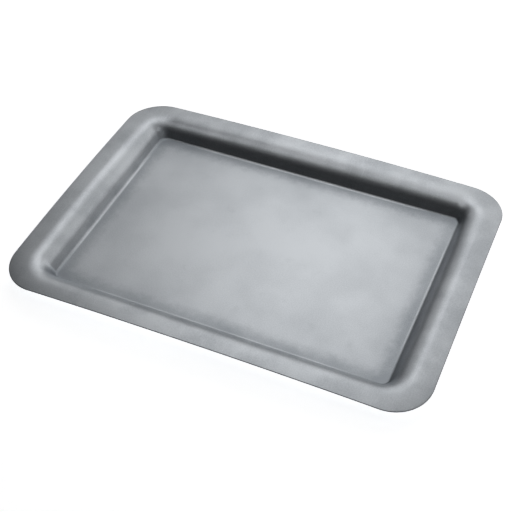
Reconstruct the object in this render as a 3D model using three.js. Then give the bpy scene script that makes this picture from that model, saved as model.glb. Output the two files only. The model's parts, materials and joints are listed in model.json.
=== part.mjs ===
// A shallow rectangular tray, pressed from one sheet of satin steel.
//
// A flat floor turns up through a tight foot bend into steep walls, which turn over
// a wide, soft shoulder into a flange. The flange curves down a little to its edge
// and it's trimmed to a rounded rectangle. The rim droops towards its four corners,
// as a thin pressing does out of its tool.
//
// Millimetres, +Z up, +X along the tray. The origin is under the middle of the
// floor, on the face that the tray stands on.

import * as THREE from "three";

const { degToRad, smoothstep } = THREE.MathUtils;

// Driving dimensions, on the top face of the sheet unless they say otherwise.
const SHEET = 1.0;
const OUTLINE = { length: 380, width: 276.5, radius: 34.4 };
const FLOOR = { length: 306, width: 210, radius: 7 };
const FOOT_RADIUS = 3;
const WALL_SLOPE = degToRad(57);
const SHOULDER_RADIUS = 22;
const RIM_HEIGHT = 17.8; // highest line of the shoulder, above the table
const FLANGE_RADIUS = 150;
const CORNER_DROOP = 3.4; // at the corners of the rectangle round the outline

// How finely the bends and sides are divided.
const CORNER_STEPS = 10;
const SIDE_STEPS = 8;
const FOOT_STEPS = 4;
const WALL_STEPS = 2;
const SHOULDER_STEPS = 12;
const FLANGE_STEPS = 3;
const EDGE_STEPS = 4;
const TRACE_STEPS = 40;

const QUARTER_TURN = Math.PI / 2;
const EDGE_RADIUS = SHEET / 2;

// The foot line is where floor and wall would meet if they had no bend. A point
// of the rim's section is (distance out from the foot line, height).
const FOOT_CENTRE = new THREE.Vector2(
  -FOOT_RADIUS * Math.tan(WALL_SLOPE / 2),
  SHEET + FOOT_RADIUS,
);
const SHOULDER_CENTRE = shoulderCentre();
const FLANGE_CENTRE = new THREE.Vector2(SHOULDER_CENTRE.x, RIM_HEIGHT - FLANGE_RADIUS);

// The point at a distance and an angle from another.
function polar(from, distance, angle) {
  const { x, y } = from;
  return new THREE.Vector2(x + distance * Math.cos(angle), y + distance * Math.sin(angle));
}

// The shoulder touches the straight wall, which starts at the foot line.
function shoulderCentre() {
  const height = RIM_HEIGHT - SHOULDER_RADIUS;
  const rise = height - SHEET;
  const across = (SHOULDER_RADIUS + rise * Math.cos(WALL_SLOPE)) / Math.sin(WALL_SLOPE);
  return new THREE.Vector2(across, height);
}

// Points of an arc, its ends included. It runs clockwise when `to` is less.
function arc(centre, radius, from, to, steps) {
  const { x, y } = centre;
  const clockwise = to < from;
  const curve = new THREE.EllipseCurve(x, y, radius, radius, from, to, clockwise);
  return curve.getPoints(steps);
}

// Points of a straight run, without its ends.
function run(start, end, steps) {
  return new THREE.LineCurve(start, end).getPoints(steps).slice(1, -1);
}

// One face of the sheet, from the floor to the rim's highest line. Depth is 0 on the
// top face and SHEET on the underside: both share the centres of the bends.
function bendLine(depth) {
  const foot = arc(
    FOOT_CENTRE,
    FOOT_RADIUS + depth,
    -QUARTER_TURN,
    WALL_SLOPE - QUARTER_TURN,
    FOOT_STEPS,
  );
  const shoulder = arc(
    SHOULDER_CENTRE,
    SHOULDER_RADIUS - depth,
    QUARTER_TURN + WALL_SLOPE,
    QUARTER_TURN,
    SHOULDER_STEPS,
  );
  return [...foot, ...run(foot.at(-1), shoulder[0], WALL_STEPS), ...shoulder];
}

const TOP_LINE = bendLine(0);
const UNDER_LINE = bendLine(SHEET);

// The section of a rim whose edge is `reach` out from the foot line: out along
// the top face, round the dressed edge, and back along the underside.
function section(reach) {
  const midRadius = FLANGE_RADIUS - EDGE_RADIUS;
  const end = Math.acos((reach - EDGE_RADIUS - FLANGE_CENTRE.x) / midRadius);
  const edgeCentre = polar(FLANGE_CENTRE, midRadius, end);
  const top = arc(FLANGE_CENTRE, FLANGE_RADIUS, QUARTER_TURN, end, FLANGE_STEPS);
  const edge = arc(edgeCentre, EDGE_RADIUS, end, end - Math.PI, EDGE_STEPS);
  const under = arc(FLANGE_CENTRE, FLANGE_RADIUS - SHEET, end, QUARTER_TURN, FLANGE_STEPS);
  return [
    ...TOP_LINE,
    ...top.slice(1),
    ...edge.slice(1),
    ...under.slice(1),
    ...UNDER_LINE.toReversed().slice(1),
  ];
}

// Signed distance from a plan point to the trimmed outline, negative inside it.
function outlineDistance(x, y) {
  const beyondX = Math.abs(x) - OUTLINE.length / 2 + OUTLINE.radius;
  const beyondY = Math.abs(y) - OUTLINE.width / 2 + OUTLINE.radius;
  const outside = Math.hypot(Math.max(beyondX, 0), Math.max(beyondY, 0));
  const inside = Math.min(Math.max(beyondX, beyondY), 0);
  return outside + inside - OUTLINE.radius;
}

// A station of the foot line: its place in plan, its outward direction, and how
// far the outline lies in that direction.
function station(foot, out) {
  let reach = 0;
  for (let i = 0; i < TRACE_STEPS; i++) {
    reach -= outlineDistance(foot.x + out.x * reach, foot.y + out.y * reach);
  }
  return { foot, out, reach };
}

// Stations round one corner of the foot line, anticlockwise. Corner 0 is at +X +Y.
function cornerStations(corner) {
  const towards = (corner + 0.5) * QUARTER_TURN;
  const centre = new THREE.Vector2(
    Math.sign(Math.cos(towards)) * (FLOOR.length / 2 - FLOOR.radius),
    Math.sign(Math.sin(towards)) * (FLOOR.width / 2 - FLOOR.radius),
  );
  return Array.from({ length: CORNER_STEPS + 1 }, (_, i) => {
    const angle = (corner + i / CORNER_STEPS) * QUARTER_TURN;
    const out = new THREE.Vector2(Math.cos(angle), Math.sin(angle));
    return station(centre.clone().addScaledVector(out, FLOOR.radius), out);
  });
}

// Stations along the straight side that follows a corner.
function sideStations(corner) {
  const start = cornerStations(corner).at(-1);
  const end = cornerStations(corner + 1)[0];
  const feet = run(start.foot, end.foot, SIDE_STEPS);
  return feet.map((foot) => station(foot, start.out));
}

// How far the rim droops at a plan point that lies `across` from the foot line.
// It grows towards the corners, and up the wall to the shoulder's highest line.
function droop(x, y, across) {
  const alongLength = (2 * x) / OUTLINE.length;
  const alongWidth = (2 * y) / OUTLINE.width;
  const rise = smoothstep(across, 0, SHOULDER_CENTRE.x);
  return CORNER_DROOP * (alongLength * alongWidth) ** 2 * rise;
}

// The section at one station, as points in space.
function rimRing({ foot, out, reach }) {
  return section(reach).map(({ x: across, y: height }) => {
    const x = foot.x + out.x * across;
    const y = foot.y + out.y * across;
    return new THREE.Vector3(x, y, height - droop(x, y, across));
  });
}

// Triangles between each ring of points and the next, all the way round.
function bandTriangles(rings) {
  const ringSize = rings[0].length;
  const triangles = [];
  rings.forEach((_, i) => {
    const here = i * ringSize;
    const next = ((i + 1) % rings.length) * ringSize;
    for (let j = 0; j < ringSize - 1; j++) {
      triangles.push(here + j, here + j + 1, next + j + 1);
      triangles.push(here + j, next + j + 1, next + j);
    }
  });
  return triangles;
}

// Triangles of the floor's two faces. A ring's first point is on the top face and
// its last point is on the underside.
function floorTriangles(rings) {
  const ringSize = rings[0].length;
  const contour = rings.map((ring) => new THREE.Vector2(ring[0].x, ring[0].y));
  return THREE.ShapeUtils.triangulateShape(contour, []).flatMap(([a, b, c]) => {
    const top = [a, b, c].map((ring) => ring * ringSize);
    const under = [c, b, a].map((ring) => (ring + 1) * ringSize - 1);
    return [...top, ...under];
  });
}

function trayGeometry() {
  const rings = [0, 1, 2, 3]
    .flatMap((corner) => [...cornerStations(corner), ...sideStations(corner)])
    .map(rimRing);
  const geometry = new THREE.BufferGeometry().setFromPoints(rings.flat());
  geometry.setIndex([...bandTriangles(rings), ...floorTriangles(rings)]);
  geometry.computeVertexNormals();
  return geometry;
}

function satinSteel() {
  return new THREE.MeshStandardMaterial({
    color: 0xa6abae,
    roughness: 0.42,
    metalness: 1,
  });
}

function pressedTray() {
  const mesh = new THREE.Mesh(trayGeometry(), satinSteel());
  mesh.name = "pressed_tray";
  return mesh;
}

const tray = new THREE.Group();
tray.add(pressedTray());

export default tray;
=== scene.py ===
"""A shallow pressed steel tray with a wide drooping flange, lying on a pale floor in soft studio light.

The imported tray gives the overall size. The tray seen here replaces it with a finer sheet of the same
section: smooth bends, the small unevenness of a thin pressing, and a satin steel finish.

Metres, +Z up, +X along the tray, origin under the middle of its floor.
"""

import json
import math

import bmesh
import bpy
from mathutils import Matrix, Vector, noise


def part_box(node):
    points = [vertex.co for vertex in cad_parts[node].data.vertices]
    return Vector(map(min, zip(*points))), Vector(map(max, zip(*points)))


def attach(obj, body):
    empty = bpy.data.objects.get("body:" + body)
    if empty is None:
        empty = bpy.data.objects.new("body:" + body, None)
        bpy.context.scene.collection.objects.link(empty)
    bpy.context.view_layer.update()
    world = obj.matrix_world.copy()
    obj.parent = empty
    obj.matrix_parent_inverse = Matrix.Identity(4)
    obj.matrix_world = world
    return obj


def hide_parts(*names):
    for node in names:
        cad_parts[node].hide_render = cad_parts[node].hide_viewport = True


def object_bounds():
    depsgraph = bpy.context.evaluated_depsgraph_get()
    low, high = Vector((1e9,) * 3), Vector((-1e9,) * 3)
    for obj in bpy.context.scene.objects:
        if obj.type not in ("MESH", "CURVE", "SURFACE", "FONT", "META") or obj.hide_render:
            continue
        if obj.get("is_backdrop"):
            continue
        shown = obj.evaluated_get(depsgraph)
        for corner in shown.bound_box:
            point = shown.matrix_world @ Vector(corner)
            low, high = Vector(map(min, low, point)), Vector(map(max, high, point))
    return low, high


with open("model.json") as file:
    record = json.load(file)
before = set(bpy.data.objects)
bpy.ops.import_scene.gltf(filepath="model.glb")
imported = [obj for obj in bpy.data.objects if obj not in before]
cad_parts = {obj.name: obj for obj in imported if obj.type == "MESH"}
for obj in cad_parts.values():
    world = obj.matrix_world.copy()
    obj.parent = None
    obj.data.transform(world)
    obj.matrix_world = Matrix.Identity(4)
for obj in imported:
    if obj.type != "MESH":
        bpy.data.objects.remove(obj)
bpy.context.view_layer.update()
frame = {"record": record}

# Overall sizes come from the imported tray. The well's floor lies one sheet above the table.
low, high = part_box("pressed_tray")
LENGTH, WIDTH, HEIGHT = high - low
MOUNTS = {mount["name"]: mount for mount in frame["record"]["mounts"]}
SHEET = MOUNTS["well_floor"]["pos_m"][2]

# The sheet's plan and section, on its top face.
OUTLINE_RADIUS = 0.0344
FLOOR_LENGTH = 0.306
FLOOR_WIDTH = 0.210
FLOOR_RADIUS = 0.007
FOOT_RADIUS = 0.003
WALL_SLOPE = math.radians(57)
SHOULDER_RADIUS = 0.022
FLANGE_RADIUS = 0.15
CORNER_DROOP = 0.0034

# The unevenness of a thin pressing.
WAVE_LENGTH = 0.07
RIM_WAVE = 0.0002
FLOOR_WAVE = 0.00012

# How finely the sheet is divided.
CORNER_STEPS = 32
SIDE_STEPS = 60
FOOT_STEPS = 8
WALL_STEPS = 12
SHOULDER_STEPS = 30
FLANGE_STEPS = 16
EDGE_STEPS = 8
FLOOR_RINGS = 48
TRACE_STEPS = 40

QUARTER_TURN = math.pi / 2
EDGE_RADIUS = SHEET / 2
CUT_EDGE = "cut_edge"


# The section. Its points are (distance out from the foot line, height), and the foot line is where
# floor and wall would meet if they had no bend.


def direction(angle):
    return Vector((math.cos(angle), math.sin(angle)))


def shoulder_centre():
    """The shoulder touches the straight wall, which starts at the foot line."""
    height = HEIGHT - SHOULDER_RADIUS
    across = (SHOULDER_RADIUS + (height - SHEET) * math.cos(WALL_SLOPE)) / math.sin(WALL_SLOPE)
    return Vector((across, height))


FOOT_CENTRE = Vector((-FOOT_RADIUS * math.tan(WALL_SLOPE / 2), SHEET + FOOT_RADIUS))
SHOULDER_CENTRE = shoulder_centre()
FLANGE_CENTRE = Vector((SHOULDER_CENTRE.x, HEIGHT - FLANGE_RADIUS))


def arc(centre, radius, start, end, steps):
    """Points of an arc, its ends included."""
    angles = [start + (end - start) * i / steps for i in range(steps + 1)]
    return [centre + radius * direction(angle) for angle in angles]


def run(start, end, steps):
    """Points of a straight run, without its ends."""
    return [start.lerp(end, i / steps) for i in range(1, steps)]


def bend_line(depth):
    """One face of the sheet, from the floor to the rim's highest line.

    Depth is 0 on the top face and SHEET on the underside.
    """
    foot = arc(
        FOOT_CENTRE,
        FOOT_RADIUS + depth,
        -QUARTER_TURN,
        WALL_SLOPE - QUARTER_TURN,
        FOOT_STEPS,
    )
    shoulder = arc(
        SHOULDER_CENTRE,
        SHOULDER_RADIUS - depth,
        QUARTER_TURN + WALL_SLOPE,
        QUARTER_TURN,
        SHOULDER_STEPS,
    )
    return foot + run(foot[-1], shoulder[0], WALL_STEPS) + shoulder


TOP_LINE = bend_line(0)
UNDER_LINE = bend_line(SHEET)


def section(reach):
    """The rim's section: out along the top face, round the dressed edge, and back along the underside."""
    mid_radius = FLANGE_RADIUS - EDGE_RADIUS
    end = math.acos((reach - EDGE_RADIUS - FLANGE_CENTRE.x) / mid_radius)
    edge_centre = FLANGE_CENTRE + mid_radius * direction(end)
    top = arc(FLANGE_CENTRE, FLANGE_RADIUS, QUARTER_TURN, end, FLANGE_STEPS)
    edge = arc(edge_centre, EDGE_RADIUS, end, end - math.pi, EDGE_STEPS)
    under = arc(FLANGE_CENTRE, FLANGE_RADIUS - SHEET, end, QUARTER_TURN, FLANGE_STEPS)
    return TOP_LINE + top[1:] + edge[1:] + under[1:] + UNDER_LINE[-2::-1]


# The plan: stations along the foot line, each with its outward direction and its flange's reach.


def outline_distance(x, y):
    """Signed distance from a plan point to the trimmed outline, negative inside it."""
    beyond_x = abs(x) - LENGTH / 2 + OUTLINE_RADIUS
    beyond_y = abs(y) - WIDTH / 2 + OUTLINE_RADIUS
    outside = math.hypot(max(beyond_x, 0), max(beyond_y, 0))
    return outside + min(max(beyond_x, beyond_y), 0) - OUTLINE_RADIUS


def station(foot, out):
    """A place on the foot line, with its outward direction and how far the outline lies that way."""
    reach = 0
    for _ in range(TRACE_STEPS):
        reach -= outline_distance(foot.x + out.x * reach, foot.y + out.y * reach)
    return foot, out, reach


def corner_stations(corner):
    """Stations round one corner of the foot line, anticlockwise. Corner 0 is at +X +Y."""
    towards = (corner + 0.5) * QUARTER_TURN
    centre = Vector((
        math.copysign(FLOOR_LENGTH / 2 - FLOOR_RADIUS, math.cos(towards)),
        math.copysign(FLOOR_WIDTH / 2 - FLOOR_RADIUS, math.sin(towards)),
    ))
    angles = [(corner + i / CORNER_STEPS) * QUARTER_TURN for i in range(CORNER_STEPS + 1)]
    outs = [direction(angle) for angle in angles]
    return [station(centre + FLOOR_RADIUS * out, out) for out in outs]


def side_stations(corner):
    """Stations along the straight side that follows a corner."""
    start, out, _ = corner_stations(corner)[-1]
    end = corner_stations(corner + 1)[0][0]
    return [station(foot, out) for foot in run(start, end, SIDE_STEPS)]


# The sheet in space.


def smoothstep(value, end):
    """A smooth rise from 0 at 0 to 1 at `end`, and level beyond them."""
    t = min(max(value / end, 0), 1)
    return t * t * (3 - 2 * t)


def wave(x, y):
    """A smooth random height at a plan point, between -1 and 1."""
    return noise.noise(Vector((x, y, 0)) / WAVE_LENGTH)


def droop(x, y, across):
    """How far the rim lies below its section: it droops towards its corners, and it's a little wavy."""
    rise = smoothstep(across, SHOULDER_CENTRE.x)
    corner = CORNER_DROOP * (2 * x / LENGTH * 2 * y / WIDTH) ** 2
    return (corner + RIM_WAVE * (1 + wave(x, y)) / 2) * rise


def rim_point(foot, out, across, height):
    x, y = foot + across * out
    return Vector((x, y, height - droop(x, y, across)))


def bridge(mesh, here, there):
    """Faces between two closed or open rows of vertices."""
    for a, b, c, d in zip(here, here[1:], there[1:], there):
        mesh.faces.new((a, b, c, d))


def fill_floor(mesh, rim, wave_height):
    """Faces of one side of the floor: closed rows of vertices that shrink towards its middle."""
    height = rim[0].co.z
    outer = rim
    for i in range(1, FLOOR_RINGS):
        scale = 1 - i / FLOOR_RINGS
        inner = []
        for vert in rim:
            x, y = scale * vert.co.xy
            inner.append(mesh.verts.new((x, y, height + wave_height * wave(x, y))))
        bridge(mesh, outer + outer[:1], inner + inner[:1])
        outer = inner
    middle = mesh.verts.new((0, 0, height + wave_height * wave(0, 0)))
    for a, b in zip(outer, outer[1:] + outer[:1]):
        mesh.faces.new((a, b, middle))


def tray_mesh():
    """The sheet. Its CUT_EDGE attribute is 1 on the vertices of the dressed edge, and 0 elsewhere."""
    stations = [s for corner in range(4) for s in corner_stations(corner) + side_stations(corner)]
    mesh = bmesh.new()
    cut = mesh.verts.layers.float.new(CUT_EDGE)
    rows = [
        [mesh.verts.new(rim_point(foot, out, *point)) for point in section(reach)]
        for foot, out, reach in stations
    ]
    edge_start = len(TOP_LINE) + FLANGE_STEPS
    for row in rows:
        for vert in row[edge_start:edge_start + EDGE_STEPS]:
            vert[cut] = 1
    for here, there in zip(rows, rows[1:] + rows[:1]):
        bridge(mesh, here, there)
    fill_floor(mesh, [row[0] for row in rows], FLOOR_WAVE)
    fill_floor(mesh, [row[-1] for row in rows], 0)
    bmesh.ops.recalc_face_normals(mesh, faces=mesh.faces)
    data = bpy.data.meshes.new("steel_tray")
    mesh.to_mesh(data)
    mesh.free()
    data.shade_smooth()
    return data


# The satin steel. Lengths are on the tray itself. Stains and painted shade are shares of the way from the
# clean colour to the stained and shaded one, and a RANGE is the part of a random cloud over which a layer
# comes in.
STEEL_COLOUR = (0.625, 0.651, 0.678, 1)
STAIN_AND_SHADE_COLOUR = (0.345, 0.370, 0.398, 1)
# The dressed edge is painted dark, as painted shade on its cut face.
CUT_EDGE_SHADE_COLOUR = (0.13, 0.14, 0.155, 1)
ROUGHNESS = 0.41
STAIN_AND_SHADE_ROUGHNESS = 0.47

# The fine blasted grain.
GRAIN_SIZE = 0.001
GRAIN_RANGE = (0.3, 0.7)
GRAIN_STAIN = 0.13
GRAIN_DEPTH = 0.00005
GRAIN_STRENGTH = 0.15

# Clouds over the whole sheet, more of them on the rim, and scattered smudges.
CLOUD_SIZE = 0.055
CLOUD_RANGE = (0.3, 0.7)
CLOUD_STAIN = (-0.09, 0.17)
RIM_CLOUD_SIZE = 0.028
RIM_CLOUD_RANGE = (0.35, 0.65)
RIM_CLOUD_STAIN = (0.10, 0.32)
SMUDGE_SIZE = 0.02
SMUDGE_RANGE = (0.62, 0.8)
SMUDGE_STAIN = 0.15

# Painted shade darkens the floor towards its border, where a ragged band of painted shade ends at the
# crease.
# A painted highlight runs along the crease, except near the corners.
BROAD_FLOOR_SHADE = 0.28
BROAD_FLOOR_SHADE_REACH = 0.09
BORDER_WIDTH = 0.018
BORDER_SHADE = 0.5
BORDER_RAG_SIZE = 0.006
BORDER_RAGGEDNESS = 0.011
CREASE = (0.0012, 0.0026)
CREASE_HIGHLIGHT = 0.6
CREASE_FADE = (0.02, 0.06)

# Painted shade up the foot of the walls and in the corners of the well.
WALL_FOOT_SHADE = 0.24
WALL_FOOT_SHADE_REACH = 0.009
CORNER_SIZE = 0.02
CORNER_SHADE = 0.35

# Hairline scratches, brighter than the sheet, in the places where it was handled.
SCRATCH_LENGTH = 0.02
SCRATCH_WIDTH = 0.0009
SCRATCH_ANGLE = math.radians(38)
SCRATCH_RANGE = (0.56, 0.72)
SCRATCH_STAIN = -0.18
HANDLED_SIZE = 0.035
HANDLED_RANGE = (0.42, 0.6)


def node(tree, kind, inputs, **settings):
    """A new node. Each input is a value, or the output socket that feeds it."""
    new = tree.nodes.new(kind)
    for name, value in settings.items():
        setattr(new, name, value)
    for name, value in inputs.items():
        if isinstance(value, bpy.types.NodeSocket):
            tree.links.new(value, new.inputs[name])
        else:
            new.inputs[name].default_value = value
    return new


def math_of(tree, operation, *values):
    """The output of one Math node."""
    return node(tree, "ShaderNodeMath", dict(enumerate(values)), operation=operation).outputs[0]


def total(tree, first, *others):
    """The sum of several outputs."""
    for other in others:
        first = math_of(tree, "ADD", first, other)
    return first


def mixed(tree, factor, first, second):
    """A colour between two others: the Mix node's colour sockets are told apart by number."""
    return node(tree, "ShaderNodeMix", {0: factor, 6: first, 7: second}, data_type="RGBA").outputs[2]


def ranged(tree, value, from_min, from_max, to_min, to_max):
    """A value mapped smoothly from one range to another, and held at its ends."""
    ends = {"From Min": from_min, "From Max": from_max, "To Min": to_min, "To Max": to_max}
    inputs = {"Value": value, **ends}
    return node(tree, "ShaderNodeMapRange", inputs, interpolation_type="SMOOTHSTEP").outputs["Result"]


def cloud(tree, place, size, detail=2):
    """Smooth random values between 0 and 1, whose features have a given size."""
    inputs = {"Vector": place, "Scale": 1 / size, "Detail": detail}
    return node(tree, "ShaderNodeTexNoise", inputs).outputs["Fac"]


def inside_floor(tree, place):
    """How far a point lies inside the floor's ends and inside its long sides, negative beyond them."""
    parts = node(tree, "ShaderNodeSeparateXYZ", {"Vector": place})
    from_end = math_of(tree, "SUBTRACT", FLOOR_LENGTH / 2, math_of(tree, "ABSOLUTE", parts.outputs["X"]))
    from_side = math_of(tree, "SUBTRACT", FLOOR_WIDTH / 2, math_of(tree, "ABSOLUTE", parts.outputs["Y"]))
    return from_end, from_side


def on_rim(tree, place):
    """1 on the walls and flange, 0 on the floor."""
    inside = math_of(tree, "MINIMUM", *inside_floor(tree, place))
    return math_of(tree, "LESS_THAN", inside, 0)


def floor_border(tree, place, inside, from_corner):
    """Painted shade over the floor, deepest in a ragged band at its border, broken by a painted highlight
    along the crease.
    """
    ragged = math_of(tree, "SUBTRACT", cloud(tree, place, BORDER_RAG_SIZE, detail=6), 0.5)
    ragged = math_of(tree, "MULTIPLY_ADD", ragged, BORDER_RAGGEDNESS, inside)
    border = ranged(tree, ragged, CREASE[1], BORDER_WIDTH, BORDER_SHADE, 0)
    # Broad painted shade, fading out from the floor's border towards its middle.
    border = total(tree, border, ranged(tree, inside, 0, BROAD_FLOOR_SHADE_REACH, BROAD_FLOOR_SHADE, 0))
    # A painted highlight along the crease, fading near the corners.
    crease_highlight = ranged(tree, from_corner, *CREASE_FADE, 0, CREASE_HIGHLIGHT)
    crease_highlight = math_of(tree, "MULTIPLY", crease_highlight, ranged(tree, inside, *CREASE, 1, 0))
    border = math_of(tree, "MULTIPLY", border, math_of(tree, "SUBTRACT", 1, crease_highlight))
    return math_of(tree, "MULTIPLY", border, math_of(tree, "GREATER_THAN", inside, 0))


def wall_foot(tree, inside):
    """The painted shade up the foot of the walls."""
    wall = ranged(tree, inside, -WALL_FOOT_SHADE_REACH, 0, 0, WALL_FOOT_SHADE)
    return math_of(tree, "MULTIPLY", wall, math_of(tree, "LESS_THAN", inside, 0))


def well_corners(tree, inside, from_corner):
    """The painted shade in the corners of the well, on the floor and on the foot of the walls."""
    corner = ranged(tree, from_corner, 0, CORNER_SIZE, CORNER_SHADE, 0)
    return math_of(tree, "MULTIPLY", corner, ranged(tree, inside, -CORNER_SIZE / 2, 0, 0, 1))


def painted_border_shade(tree, place):
    """All the painted shade and highlight that follow the border of the floor."""
    from_end, from_side = inside_floor(tree, place)
    inside = math_of(tree, "MINIMUM", from_end, from_side)
    from_corner = math_of(tree, "MAXIMUM", from_end, from_side)
    return total(
        tree,
        floor_border(tree, place, inside, from_corner),
        wall_foot(tree, inside),
        well_corners(tree, inside, from_corner),
    )


def scratches(tree, place):
    """Hairline scratches in one direction on the rim, strongest where the sheet was handled."""
    stretch = (1 / SCRATCH_WIDTH, 1 / SCRATCH_LENGTH, 1 / SCRATCH_LENGTH)
    inputs = {"Vector": place, "Rotation": (0, 0, SCRATCH_ANGLE), "Scale": stretch}
    turned = node(tree, "ShaderNodeMapping", inputs).outputs["Vector"]
    lines = ranged(tree, cloud(tree, turned, size=1), *SCRATCH_RANGE, 0, 1)
    handled = ranged(tree, cloud(tree, place, HANDLED_SIZE), *HANDLED_RANGE, 0, SCRATCH_STAIN)
    handled = math_of(tree, "MULTIPLY", handled, on_rim(tree, place))
    return math_of(tree, "MULTIPLY", lines, handled)


def stain_and_painted_shade(tree, place, grain):
    """The sum of the layers: the clouds, smudges, grain, the painted shade and highlight along the floor's
    border, and scratches.
    """
    rim_clouds = ranged(
        tree,
        cloud(tree, place, RIM_CLOUD_SIZE, detail=4),
        *RIM_CLOUD_RANGE,
        *RIM_CLOUD_STAIN,
    )
    return total(
        tree,
        ranged(tree, cloud(tree, place, CLOUD_SIZE, detail=3), *CLOUD_RANGE, *CLOUD_STAIN),
        math_of(tree, "MULTIPLY", rim_clouds, on_rim(tree, place)),
        ranged(tree, cloud(tree, place, SMUDGE_SIZE), *SMUDGE_RANGE, 0, SMUDGE_STAIN),
        ranged(tree, grain, *GRAIN_RANGE, -GRAIN_STAIN, GRAIN_STAIN),
        painted_border_shade(tree, place),
        scratches(tree, place),
    )


def satin_steel():
    material = bpy.data.materials.new("blasted_steel")
    material.use_nodes = True
    tree = material.node_tree
    shader = tree.nodes["Principled BSDF"]
    place = node(tree, "ShaderNodeTexCoord", {}).outputs["Object"]

    grain = cloud(tree, place, GRAIN_SIZE, detail=3)
    # Stains, grain and scratches, together with the painted shade and highlight along the floor's border.
    stain_and_shade = stain_and_painted_shade(tree, place, grain)
    colour = mixed(tree, stain_and_shade, STEEL_COLOUR, STAIN_AND_SHADE_COLOUR)
    # Painted shade: the dressed edge is painted dark.
    cut = node(tree, "ShaderNodeAttribute", {}, attribute_name=CUT_EDGE)
    colour = mixed(tree, cut.outputs["Fac"], colour, CUT_EDGE_SHADE_COLOUR)
    rough = ranged(tree, stain_and_shade, 0, 1, ROUGHNESS, STAIN_AND_SHADE_ROUGHNESS)
    relief = {"Height": grain, "Strength": GRAIN_STRENGTH, "Distance": GRAIN_DEPTH}
    bump = node(tree, "ShaderNodeBump", relief)

    shader.inputs["Metallic"].default_value = 1
    tree.links.new(colour, shader.inputs["Base Color"])
    tree.links.new(rough, shader.inputs["Roughness"])
    tree.links.new(bump.outputs["Normal"], shader.inputs["Normal"])
    return material


def steel_tray():
    tray = bpy.data.objects.new("steel_tray", tray_mesh())
    bpy.context.scene.collection.objects.link(tray)
    tray.data.materials.append(satin_steel())
    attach(tray, "root")
    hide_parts("pressed_tray")


# The studio. Angles are in degrees. Azimuth 0 is in front of the tray and 90 to its right.


def bearing(azimuth, elevation):
    """The direction from the tray at an azimuth and an elevation."""
    a, e = math.radians(azimuth), math.radians(elevation)
    return Vector((math.sin(a) * math.cos(e), -math.cos(a) * math.cos(e), math.sin(e)))


# The camera looks at a point near the middle of the rim, at its height.
CAMERA_AZIMUTH = 23.83
CAMERA_ELEVATION = 45.03
CAMERA_ROLL = -0.36
CAMERA_DISTANCE = 0.9072
CAMERA_TARGET = Vector((0.00625, -0.0269, 0.01726))
LENS = 73.6


def camera():
    back = bearing(CAMERA_AZIMUTH, CAMERA_ELEVATION)
    data = bpy.data.cameras.new("camera")
    data.lens = LENS
    cam = bpy.data.objects.new("camera", data)
    bpy.context.scene.collection.objects.link(cam)
    roll = Matrix.Rotation(math.radians(CAMERA_ROLL), 3, "Z")
    turn = back.to_track_quat("Z", "Y").to_matrix() @ roll
    cam.matrix_world = Matrix.Translation(CAMERA_TARGET + CAMERA_DISTANCE * back) @ turn.to_4x4()
    bpy.context.scene.camera = cam


# The pale floor glows a little, so that it stays light beside the bright steel.
FLOOR_COLOUR = (0.9, 0.9, 0.9, 1)
FLOOR_ROUGHNESS = 0.9
FLOOR_GLOW = 0.8
FLOOR_EXTENT = 4


def pale_material():
    material = bpy.data.materials.new("studio_floor")
    material.use_nodes = True
    shader = material.node_tree.nodes["Principled BSDF"]
    shader.inputs["Base Color"].default_value = FLOOR_COLOUR
    shader.inputs["Roughness"].default_value = FLOOR_ROUGHNESS
    shader.inputs["Emission Color"].default_value = FLOOR_COLOUR
    shader.inputs["Emission Strength"].default_value = FLOOR_GLOW
    return material


def studio_floor():
    mesh = bmesh.new()
    bmesh.ops.create_grid(mesh, x_segments=1, y_segments=1, size=FLOOR_EXTENT)
    data = bpy.data.meshes.new("studio_floor")
    mesh.to_mesh(data)
    mesh.free()
    data.materials.append(pale_material())
    plane = bpy.data.objects.new("studio_floor", data)
    bpy.context.scene.collection.objects.link(plane)
    plane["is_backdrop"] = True


# Rows of softboxes, aimed at the tray from LIGHT_DISTANCE: elevation, width and height of the row's boxes,
# then the power of each by its azimuth. All but the weak fill stand behind, beside or above the tray.
LIGHT_DISTANCE = 1.5
SOFTBOX_ROWS = {
    "low": (5, 0.5, 0.3, {150: 1.3}),
    "fill": (15, 0.6, 0.4, {50: 1.2}),
    "back": (25, 0.5, 0.5, {130: 0.8, 150: 0.8, 170: 0.6, 190: 0.8, 210: 0.5, 230: 0.5}),
    "high": (45, 0.5, 0.5, {90: 1.6, 145: 0.7, 170: 0.5, 195: 1.2, 220: 0.3}),
    "upper": (65, 0.55, 0.55, {170: 0.4, 210: 1.3, 300: 1.2}),
    "top": (88, 0.6, 0.6, {0: 1.1}),
}
AMBIENT_COLOUR = (0.002, 0.003, 0.004, 1)


def softbox(name, azimuth, elevation, width, height, power):
    towards = bearing(azimuth, elevation)
    data = bpy.data.lights.new(name, "AREA")
    data.shape = "RECTANGLE"
    data.size = width
    data.size_y = height
    data.energy = power
    light = bpy.data.objects.new(name, data)
    light.location = LIGHT_DISTANCE * towards
    light.rotation_mode = "QUATERNION"
    light.rotation_quaternion = towards.to_track_quat("Z", "Y")
    bpy.context.scene.collection.objects.link(light)


def studio():
    world = bpy.data.worlds.new("studio")
    bpy.context.scene.world = world
    world.use_nodes = True
    world.node_tree.nodes["Background"].inputs["Color"].default_value = AMBIENT_COLOUR
    for name, (elevation, width, height, powers) in SOFTBOX_ROWS.items():
        for azimuth, power in powers.items():
            softbox(f"{name}_{azimuth}", azimuth, elevation, width, height, power)
    bpy.context.scene.view_settings.view_transform = "Standard"


camera()
steel_tray()
studio_floor()
studio()

low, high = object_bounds()
